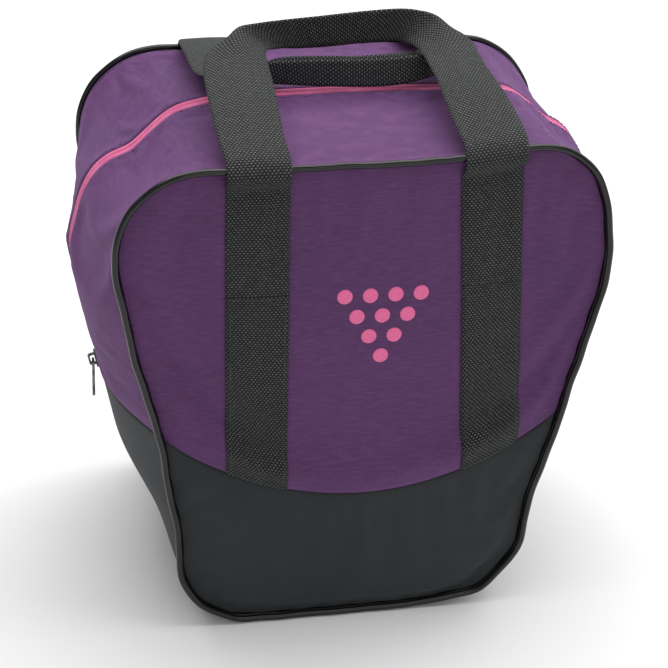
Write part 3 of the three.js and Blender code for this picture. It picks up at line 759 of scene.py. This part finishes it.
PURPLE = fabric("shell_fabric", linear(90, 52, 98), linear(122, 80, 132), linear(72, 40, 82), ribs=1.0,
                tint=linear(170, 130, 190))
BOOT = fabric("boot_fabric", linear(43, 46, 49), linear(60, 64, 66), linear(30, 32, 35), ribs=0.35,
              tint=linear(130, 134, 138))
LINING = fabric("lining", linear(38, 38, 42), linear(62, 62, 68), linear(22, 22, 26), pitch=0.0006,
                ribs=0.3, sheen=0.5)
BINDING = fabric("binding_tape", linear(30, 31, 33), linear(56, 57, 60), linear(18, 19, 21),
                 pitch=0.0010, ribs=0.2)
WEBBING_BLACK = webbing_material()
PIPING = piping_material()
BLACK_THREAD = worn_material("black_thread", linear(26, 27, 29), linear(58, 60, 62))
PURPLE_THREAD = worn_material("purple_thread", linear(56, 32, 68), linear(96, 62, 108))
ZIP_TAPE_PINK = zip_tape_material()
ZIP_COIL = worn_material("zip_coil", linear(178, 66, 114), linear(212, 98, 146), grain=(420.0, 3.0),
                         patches=(0.35, 0.7), gloss=(0.3, 0.7, 0.32, 0.5), dents=(0.3, 0.0001), sheen=0.0)
METAL = metal_material()
PRINT_PINK = worn_material("print_pink", linear(222, 92, 148), linear(240, 112, 164))


# ---------------------------------------------------------------- reliefs

FACE = {prefix: face_relief(facing) for prefix, facing in SIDES.items()}
GUSSET = {prefix: gusset_relief(facing) for prefix, facing in SIDES.items()}


def face_points(prefix, x, z, out=0.0):
    """Points on a front or back face, a distance out from the fabric's outer surface."""
    facing = SIDES[prefix]
    stand = DEPTH / 2 + panel_crown(x, z) + FACE[prefix](x, z) + out
    return np.stack([x + 0 * z, facing * stand, z + 0 * x], -1)


def face_grid(upper, inset, columns, rows):
    """(x, z) over a shell or boot panel, with rows that follow its curved seam."""
    low = SEAM_Z + SEAM_GAP / 2 + inset if upper else inset + FABRIC / 2
    high = HEIGHT - inset if upper else SEAM_Z - SEAM_GAP / 2 - inset
    b = np.linspace(0, 1, rows)[None, :]
    across = np.linspace(-1, 1, columns)[:, None]
    climb = np.sin(b * math.pi / 2) if upper else 1 - np.cos(b * math.pi / 2)
    level = low + (high - low) * climb
    near_seam = (1 - climb) ** 2 if upper else climb**2
    x = across * (half_width(level) - inset)
    return x, level - PANEL_SEAM_DIP * (1 - across**2) * near_seam


def add_face(prefix, upper, name, node, materials, slot):
    """A front or back panel, its seam edge turned under so that the seam reads as a fold."""
    facing = SIDES[prefix]
    x, z = face_grid(upper, 0.0, 121, 81 if upper else 61)
    near_seam = np.abs(z - panel_seam_z(x))
    near_rim = np.minimum(half_width(z) - np.abs(x), np.minimum(HEIGHT - z, z))
    tuck = 0.0009 * np.exp(-near_seam / 0.0016) + 0.0010 * np.exp(-near_rim / 0.0030)
    pucker = 0.00035 * np.exp(-near_rim / 0.011) * np.sin(np.arctan2(x, z - 0.17) * 46 + 3 * facing)
    grid = settle(face_points(prefix, x, z, pucker - tuck - FABRIC / 2))
    piece = slab(name, grid, FABRIC, materials, outward=-facing)
    declare(piece, slot, node, half=prefix if upper else None)


def add_pad(prefix, upper, name, node):
    """Foam padding in its lining, inside a panel and drawn towards it at the edges."""
    facing = SIDES[prefix]
    x, z = face_grid(upper, FOAM_MARGIN, 61, 41)
    rim = np.minimum(half_width(z) - FOAM_MARGIN - np.abs(x), np.minimum(HEIGHT - z, z) - FOAM_MARGIN)
    seam = np.abs(z - panel_seam_z(x)) - FOAM_MARGIN
    edge = smoothstep(np.minimum(rim, seam), -0.001, 0.008)
    thick = FOAM * (0.45 + 0.55 * edge)
    depth = FABRIC + 0.0003 + thick / 2
    grid = settle(face_points(prefix, x, z, -depth))
    piece = slab(name, grid, FOAM * 0.9, [LINING], outward=-facing)
    declare(piece, "foam", node, half=prefix if upper else None)


def add_half_gusset(prefix):
    """A half shell's side and top gusset, folded under along the zip."""
    facing = SIDES[prefix]
    path, normals = outline(True, SEAM_Z + SEAM_GAP / 2)
    edges = np.sort(np.array([GUSSET_EDGE, DEPTH / 2 - RIM]) * facing)
    y = np.linspace(*edges, 41)[None, :]
    share = np.linspace(0, 1, len(path))[:, None] + 0 * y
    to_zip = np.abs(y) - GUSSET_EDGE
    to_seam = np.minimum(share, 1 - share) * 0.75
    roll = 0.0003 * np.exp(-((to_zip - 0.0015) / 0.0022) ** 2)
    tuck = 0.0008 * np.exp(-to_zip / 0.0010) + 0.0009 * np.exp(-to_seam / 0.0016)
    pucker = 0.0003 * np.exp(-np.abs(to_zip - 0.006) / 0.007) * np.sin(share * 300 + 2 * facing)
    relief = GUSSET[prefix](share, y + 0 * share) + roll - tuck + pucker
    grid = settle(gusset_points(path[:, None], normals[:, None], y, FABRIC / 2, relief))
    piece = slab(f"{prefix}_shell_gusset", grid, FABRIC, [PURPLE, LINING], outward=1)
    declare(piece, "shell_fabric", f"{prefix}_gusset", half=prefix)
    line_y = np.full(len(path), facing * (GUSSET_EDGE + ZIP_STITCH_INSET))
    line_relief = GUSSET[prefix](share[:, 0], line_y)
    line = settle(gusset_points(path, normals, line_y, -THREAD_PROUD, line_relief))
    thread = stitches(f"{prefix}_zip_stitching", line, upright(normals), PURPLE_THREAD)
    declare(thread, "shell_fabric", half=prefix)


def add_boot_gusset():
    """The boot's sides and base in one piece, with slightly rumpled sides."""
    path, normals = outline(False, SEAM_Z - SEAM_GAP / 2)
    y = np.linspace(-DEPTH / 2 + RIM, DEPTH / 2 - RIM, 81)[None, :]
    share = np.linspace(0, 1, len(path))[:, None] + 0 * y
    z = path[:, 1][:, None] + 0 * y
    to_seam = np.minimum(share, 1 - share) * 0.44
    loose = smoothstep(to_seam, 0.003, 0.02) * (1 - (2 * y / DEPTH) ** 4)
    wave = 0.0007 * ripples(share * 0.5, y + 0 * share, 21) * loose * smoothstep(z, 0.012, 0.05)
    tuck = 0.0009 * np.exp(-to_seam / 0.0016)
    grid = settle(gusset_points(path[:, None], normals[:, None], y, FABRIC / 2, wave - tuck))
    piece = slab("boot_side_and_base", grid, FABRIC, [BOOT, LINING], outward=-1)
    declare(piece, "boot_fabric", "boot_gusset")


def add_piping(prefix):
    """One unbroken bead of piping round a face, with its flange into the seam."""
    facing = SIDES[prefix]
    upper, upper_normals = outline(True, SEAM_Z, 0.001)
    lower, lower_normals = outline(False, SEAM_Z, 0.001, BEAD_RADIUS + 0.0003)
    path = np.vstack([upper, lower[-2:0:-1]])
    normals = np.vstack([upper_normals, lower_normals[-2:0:-1]])
    turn = np.linspace(0, 2 * math.pi, len(path), endpoint=False)
    wander = 0.00025 * (np.sin(turn * 23) + 0.6 * np.sin(turn * 41 + 1))
    line = np.stack([path[:, 0] + normals[:, 0] * wander,
                     np.full(len(path), facing * BEAD_Y) + 0.0002 * np.sin(turn * 31),
                     path[:, 1] + normals[:, 1] * np.maximum(0, wander)], 1)
    bead = tube(f"{prefix}_piping", settle(line), BEAD_RADIUS, PIPING, sides=16, closed=True)
    declare(bead, "piping", f"{prefix}_piping_lower", f"{prefix}_piping_upper", half=prefix)
    inner = line - upright(normals) * 0.0030
    inner[:, 1] = facing * (DEPTH / 2 - 0.0008)
    flange_grid = np.stack([settle(line), settle((line + inner) / 2), settle(inner)], 1)
    flange_grid = np.concatenate([flange_grid, flange_grid[:1]], 0)
    flange = slab(f"{prefix}_piping_flange", flange_grid, 0.0009, [PIPING], outward=facing)
    declare(flange, "piping", half=prefix)


def add_binding(prefix, upper, name, node):
    """Seam tape folded over the raw edges inside."""
    start = SEAM_Z + BINDING_INSET if upper else SEAM_Z - BINDING_INSET
    path, _ = outline(upper, start, -BINDING_INSET, BINDING_FLOOR)
    line = upright(path, SIDES[prefix] * (DEPTH / 2 - BINDING_DEPTH))
    piece = tube(name, settle(line), 0.0015, BINDING, sides=14, squash=(1.25, 0.75))
    declare(piece, "binding", node, half=prefix if upper else None)


# ---------------------------------------------------------------- webbing


def strap_grid(prefix, line, low_z, high_z, rows, lift=0.00035, columns=15):
    """A grid of the middle of a strap lying on a face, left edge to right edge."""
    across = np.linspace(-0.5, 0.5, columns)[None, :] * WEBBING_WIDTH
    t = np.linspace(0, 1, rows)[:, None]
    z_low = low_z(line[1] + across) if callable(low_z) else low_z
    z = z_low + (high_z - z_low) * t
    foot = panel_seam_z(np.full(1, line[1])) + 0.0025
    x = line[1] + (line[0] - line[1]) * (z - foot) / (STRAP_TOP_Z - foot) + across
    cup = WEBBING_CUP * (1 - (across / WEBBING_WIDTH * 2) ** 2)
    return face_points(prefix, x, z, lift + WEBBING / 2 + cup)


def add_strap(prefix, side, line):
    """The sewn length of a strap, from the boot seam to the crosswise stitch."""
    facing = SIDES[prefix]
    grid = settle(strap_grid(prefix, line, lambda x: panel_seam_z(x) + 0.0004, STITCH_Z, 70))
    name = f"{prefix}_sewn_strap_{side}"
    piece = slab(name, grid, WEBBING, [WEBBING_BLACK], soft_edge=0.10, outward=facing)
    declare(piece, "webbing", f"{prefix}_strap_{side}", half=prefix)
    outer = grid + grid_normals(grid) * facing * (WEBBING / 2 + THREAD_STAND)
    up = grid_normals(grid) * facing
    for edge, column in WEBBING_EDGES.items():
        name = f"{prefix}_strap_{side}_edge_stitching_{edge}"
        thread = stitches(name, outer[2:, column], up[2:, column], BLACK_THREAD, radius=0.00026)
        declare(thread, "webbing", half=prefix)
    for number, row in enumerate((-2, -5)):
        name = f"{prefix}_strap_{side}_cross_stitching_{number}"
        thread = stitches(name, outer[row], up[row], BLACK_THREAD, pitch=0.0030, radius=0.00034)
        declare(thread, "webbing", half=prefix)


def bent_row(outer, middle, inner, share):
    """Points across webbing that bends softly along its middle: share runs 0 to 1."""
    half = np.abs(2 * share - 1)
    corner = 0.16
    from_middle = np.where(half < corner, (half**2 / corner + corner) / 2, half)
    edge = np.where(share < 0.5, outer, inner)
    return middle + (edge - middle) * from_middle


def add_loop(prefix, edges):
    """One unbroken carry loop: up from a stitch, over the piping, across as the grip, and
    down to the other stitch."""
    facing = SIDES[prefix]
    columns = 25
    share = np.linspace(0, 1, columns)[:, None]
    over = np.array([
        [[x * MM, facing * (BEAD_Y - inward * MM), z * MM] for x, inward, z in lines] for lines in edges])
    legs = []
    for line, end in ((LEFT_STRAP, 0), (RIGHT_STRAP, -1)):
        rise = strap_grid(prefix, line, STITCH_Z + 0.0002, STRAP_TOP_Z, 9, columns=columns)
        outer_first = rise if end == 0 else rise[:, ::-1]
        bend = []
        for drop, out in BEAD_BEND:
            row = over[end][0] + (over[end][2] - over[end][0]) * share
            row[:, 1] = facing * (BEAD_Y + out)
            row[:, 2] = BEAD_TOP_Z - drop
            bend.append(row)
        legs.append(np.concatenate([outer_first, np.array(bend)]))
    grip = np.stack([bent_row(*lines, share) for lines in over])
    controls = np.concatenate([legs[0], grip, legs[1][::-1]])
    grid = settle(spline(controls, 420))
    piece = slab(f"{prefix}_carry_loop", grid, WEBBING, [WEBBING_BLACK], soft_edge=0.10, outward=-facing)
    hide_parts(f"{prefix}_handle_left_leg", f"{prefix}_handle_grip", f"{prefix}_handle_right_leg")
    start, end = ((0, facing * y, z) for y, z in LOOP_FOLD)
    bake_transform(piece)
    outward = grid_normals(grid) * -facing
    outer = grid + outward * (WEBBING / 2 + THREAD_STAND)
    for number, rows in enumerate((slice(2, 52), slice(-52, -2))):
        for edge, column in WEBBING_EDGES.items():
            name = f"{prefix}_loop_stitching_{number}_{edge}"
            line, up = outer[rows, column], outward[rows, column]
            thread = stitches(name, line, up, BLACK_THREAD, radius=0.00026)
            declare(thread, "webbing", body=f"{prefix}_half")


# ---------------------------------------------------------------- zip


TURN_POINTS = 10


def coil_turns(count, facing):
    """How far a coil half's points stand out from the fabric and aside from the centre line."""
    angle = np.arange(count) * 2 * math.pi / TURN_POINTS + (math.pi if facing > 0 else 0)
    stand = COIL_STAND[0] + COIL_STAND[1] * np.sin(angle)
    return stand, facing * (COIL_SIDE[0] + COIL_SIDE[1] * np.cos(angle))


def zip_points(prefix, path, normals, y, depth):
    """Points on the zip, which stands up between the gussets and runs well below them."""
    share = np.linspace(0, 1, len(path))[:, None] + 0 * y
    beside = np.where(np.abs(y) < GUSSET_EDGE, SIDES[prefix] * GUSSET_EDGE, y) + 0 * share
    below = depth + 0.0026 * smoothstep(np.abs(y), GUSSET_EDGE - 0.0014, GUSSET_EDGE + 0.0002)
    rise = GUSSET[prefix](share, beside) - below
    return gusset_points(path[:, None], normals[:, None], y[None, :], 0.0, rise)


def zip_closing(points):
    """How far the zip's halves come together: fully, except along the slider's run."""
    above_run = smoothstep(points[..., 2], SLIDER_RUN_TOP, SLIDER_RUN_TOP + 0.010)
    return np.where(points[..., 0] > 0, 1.0, above_run)


def add_zip_half(prefix):
    facing = SIDES[prefix]
    path, normals = outline(True, SEAM_Z + ZIP_START)
    y = np.sort(facing * np.linspace(ZIP_HALF_GAP, ZIP_TAPE_EDGE, 19))
    grid = zip_points(prefix, path, normals, y, ZIP_TAPE_DEPTH)
    near = 1 - smoothstep(np.abs(y), ZIP_HALF_GAP, 0.0035)
    grid[..., 1] -= facing * ZIP_HALF_GAP * 0.96 * zip_closing(grid) * near
    grid = settle(grid)
    tape = slab(f"{prefix}_zip_tape_half", grid, ZIP_TAPE, [ZIP_TAPE_PINK], outward=1)
    declare(tape, "zip_tape", f"{prefix}_zip_tape", half=prefix)

    fine_path, fine_normals = outline(True, SEAM_Z + ZIP_START, step=COIL_PITCH / TURN_POINTS)
    middle = zip_points(prefix, fine_path, fine_normals, np.array([0.0]), 0.0)[:, 0]
    stand, aside = coil_turns(len(middle), facing)
    coil = middle + upright(fine_normals) * stand[:, None]
    coil[:, 1] += aside - facing * COIL_CLOSING * zip_closing(middle)
    teeth = tube(f"{prefix}_zip_coil_half", settle(coil), COIL_WIRE, ZIP_COIL, sides=6)
    declare(teeth, "zip_coil", f"{prefix}_zip_coil", half=prefix)


def add_zip_end(side, name):
    """The closed end of the zip, sewn behind the boot, with the teeth that the slider parks on."""
    low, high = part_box(name)
    z = np.linspace(high.z, low.z, 12)
    widths = np.where(z > SEAM_Z - 0.003, END_NARROW, END_WIDE)[:, None]
    across = np.linspace(-1, 1, 9)[None, :] * widths
    x = side * (side_x(z[:, None]) + SIDE_BULGE / math.cos(TILT) - 0.0024) + 0 * across
    grid = np.stack([x, across, z[:, None] + 0 * across], -1)
    piece = slab(f"{name}_tape", grid, ZIP_TAPE, [ZIP_TAPE_PINK], outward=side)
    declare(piece, "zip_tape", name)
    height = np.arange(SEAM_Z - 0.0005, SEAM_Z + ZIP_START - 0.0006, COIL_PITCH / TURN_POINTS)
    for prefix, facing in SIDES.items():
        stand, aside = coil_turns(len(height), facing)
        line = np.stack([side * (side_x(height) + SIDE_BULGE / math.cos(TILT) + stand), aside, height], 1)
        teeth = tube(f"{name}_teeth_{prefix}", line, COIL_WIRE, ZIP_COIL, sides=6)
        declare(teeth, "zip_coil")


# ---------------------------------------------------------------- ring, board, emblem


def add_ring():
    """The foam ring that seats the ball, in its fabric cover, a little uneven all round."""
    low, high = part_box("ball_ring")
    outer, base, top = high.x, low.z, high.z
    inner = outer - 0.029
    corner = 0.007
    profile = []
    for cx, cz, start in ((outer, base, -90), (outer, top, 0), (inner, top, 90), (inner, base, 180)):
        sx = -1 if cx == outer else 1
        sz = 1 if cz == base else -1
        for angle in np.radians(np.linspace(start, start + 90, 7)):
            across, up = sx + math.cos(angle), sz + math.sin(angle)
            profile.append((cx + corner * across, cz + corner * up))
    profile = np.array(profile)
    turns = 144
    angle = np.linspace(0, 2 * math.pi, turns, endpoint=False)[:, None]
    breathe = 1 + 0.006 * np.sin(angle * 17) + 0.004 * np.sin(angle * 29 + 1)
    middle = profile.mean(0)
    radius = middle[0] + (profile[None, :, 0] - middle[0]) * breathe * 0.97
    height = middle[1] + (profile[None, :, 1] - middle[1]) * 0.94
    points = np.stack([radius * np.cos(angle), radius * np.sin(angle), height + 0 * angle], -1)
    count = len(profile)
    index = np.arange(turns * count).reshape(turns, count)
    faces = ring_faces(index, np.roll(index, -1, 0))
    around, over = np.broadcast_arrays(angle * middle[0], np.linspace(0, 0.1, count)[None])
    uvs = np.stack([around, over], -1).reshape(-1, 2)
    piece = new_object("ball_ring_cover", points.reshape(-1, 3), faces, uvs, materials=[LINING])
    declare(piece, "foam", "ball_ring")


def add_emblem():
    """Ten printed dots set out as bowling pins are, in place of any mark."""
    radius, pitch = 0.0050, 0.0165
    centre_x, top_z = 0.008, 0.243
    points, faces = [], []
    rings, sides = 5, 28
    for row, count in enumerate((4, 3, 2, 1)):
        for place in range(count):
            cx = centre_x + (place - (count - 1) / 2) * pitch
            cz = top_z - row * pitch * math.sqrt(3) / 2
            turn = np.linspace(0, 2 * math.pi, sides, endpoint=False)
            base = len(points)
            points.append((cx, cz, 0.00030))
            for ring in range(1, rings + 1):
                reach = radius * min(1.0, ring / (rings - 1))
                rise = -0.0006 if ring == rings else 0.00030 - 0.00006 * (ring == rings - 1)
                points += [(cx + reach * math.cos(a), cz + reach * math.sin(a), rise) for a in turn]
            faces += [(base, base + 1 + (k + 1) % sides, base + 1 + k) for k in range(sides)]
            for ring in range(rings - 1):
                near, far = base + 1 + ring * sides, base + 1 + (ring + 1) * sides
                for k in range(sides):
                    after = (k + 1) % sides
                    faces.append((near + k, near + after, far + after, far + k))
            last = base + 1 + (rings - 1) * sides
            faces.append([last + k for k in range(sides)])
    plan = np.array(points)
    grid = settle(face_points("front", plan[:, 0], plan[:, 1], plan[:, 2]))
    piece = new_object("front_emblem_dots", grid, faces, materials=[PRINT_PINK])
    declare(piece, "zip_tape", half="front")


# ---------------------------------------------------------------- stage, light, camera


def add_stage():
    nodes = Nodes("floor")
    tone = nodes.noise(3.0, 3.0)
    pale = nodes.mix(nodes.ramp(tone, 0.3, 0.7), (0.90, 0.90, 0.90, 1), (0.93, 0.93, 0.93, 1))
    nodes.finish(pale, 0.75)
    reach, wall, bend = 4.0, 2.6, 1.2
    profile = [(-reach, 0.0), (reach - bend, 0.0)]
    for angle in np.linspace(0.1, math.pi / 2, 14):
        profile.append((reach - bend + bend * math.sin(angle), bend - bend * math.cos(angle)))
    profile.append((reach, bend + wall))
    points = [(x, y, z) for y, z in profile for x in (-reach, reach)]
    faces = [(2 * k, 2 * k + 1, 2 * k + 3, 2 * k + 2) for k in range(len(profile) - 1)]
    new_object("floor", points, faces, materials=[nodes.material])


def add_light(name, place, target, size, power):
    data = bpy.data.lights.new(name, "AREA")
    data.shape, data.size, data.size_y, data.energy = "RECTANGLE", size[0], size[1], power
    lamp = bpy.data.objects.new(name, data)
    lamp.location = place
    lamp.rotation_euler = (Vector(target) - Vector(place)).to_track_quat("-Z", "Y").to_euler()
    bpy.context.scene.collection.objects.link(lamp)


def add_lights():
    world = bpy.data.worlds.new("studio")
    world.use_nodes = True
    world.node_tree.nodes["Background"].inputs["Color"].default_value = (1.0, 1.0, 1.0, 1)
    world.node_tree.nodes["Background"].inputs["Strength"].default_value = 0.38
    bpy.context.scene.world = world
    middle = (0, 0, 0.2)
    add_light("overhead", (0.10, 0.40, 1.7), middle, (2.4, 2.0), 44)
    add_light("front_fill", (0.4, -1.9, 0.9), middle, (1.4, 1.0), 5)
    add_light("right_rim", (1.5, 0.4, 0.9), middle, (0.7, 1.2), 6)
    bpy.context.scene.view_settings.view_transform = "Standard"


def add_camera():
    azimuth, elevation, roll = (math.radians(a) for a in (-12.418, 26.852, 2.269))
    distance, target = 1.4473, Vector((0, 0, 0.184))
    back = Vector((math.sin(azimuth) * math.cos(elevation), -math.cos(azimuth) * math.cos(elevation),
                   math.sin(elevation)))
    right = Vector((math.cos(azimuth), math.sin(azimuth), 0))
    up = right.cross(-back)
    x_axis = math.cos(roll) * right + math.sin(roll) * up
    y_axis = -math.sin(roll) * right + math.cos(roll) * up
    data = bpy.data.cameras.new("camera")
    data.sensor_width = 36
    data.lens = 113.17
    data.shift_x, data.shift_y = 0.0017, -0.0507
    camera = bpy.data.objects.new("camera", data)
    place = target + back * distance
    camera.matrix_world = Matrix([
        (x_axis.x, y_axis.x, back.x, place.x),
        (x_axis.y, y_axis.y, back.y, place.y),
        (x_axis.z, y_axis.z, back.z, place.z),
        (0, 0, 0, 1),
    ])
    bpy.context.scene.collection.objects.link(camera)
    bpy.context.scene.camera = camera


def finish_cad_nodes():
    """Metal and board keep their CAD shapes and get their real finishes."""
    for name, material in (("zip_slider", METAL), ("zip_pull", METAL), ("base_board", board_material())):
        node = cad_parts[name]
        for slot in node.material_slots:
            slot.material = material
        bevel = node.modifiers.new("soft_edges", "BEVEL")
        bevel.width, bevel.segments, bevel.limit_method = 0.0003, 2, "ANGLE"


# ---------------------------------------------------------------- assembly

add_camera()
add_stage()
add_lights()
add_boot_gusset()
for prefix, facing in SIDES.items():
    add_piping(prefix)
    add_face(prefix, True, f"{prefix}_shell_panel", f"{prefix}_panel", [PURPLE, LINING], "shell_fabric")
    add_face(prefix, False, f"{prefix}_boot_face", f"{prefix}_boot_panel", [BOOT, LINING], "boot_fabric")
    add_pad(prefix, True, f"{prefix}_padding", f"{prefix}_foam")
    add_pad(prefix, False, f"{prefix}_boot_padding", f"{prefix}_boot_foam")
    add_half_gusset(prefix)
    add_binding(prefix, True, f"{prefix}_seam_tape", f"{prefix}_binding")
    add_binding(prefix, False, f"{prefix}_boot_seam_tape", f"{prefix}_boot_binding")
    add_strap(prefix, "left", LEFT_STRAP)
    add_strap(prefix, "right", RIGHT_STRAP)
    add_zip_half(prefix)
add_loop("front", FRONT_LOOP)
add_loop("back", BACK_LOOP)
add_zip_end(-1, "zip_end_left")
add_zip_end(1, "zip_end_right")
add_ring()
add_emblem()
finish_cad_nodes()
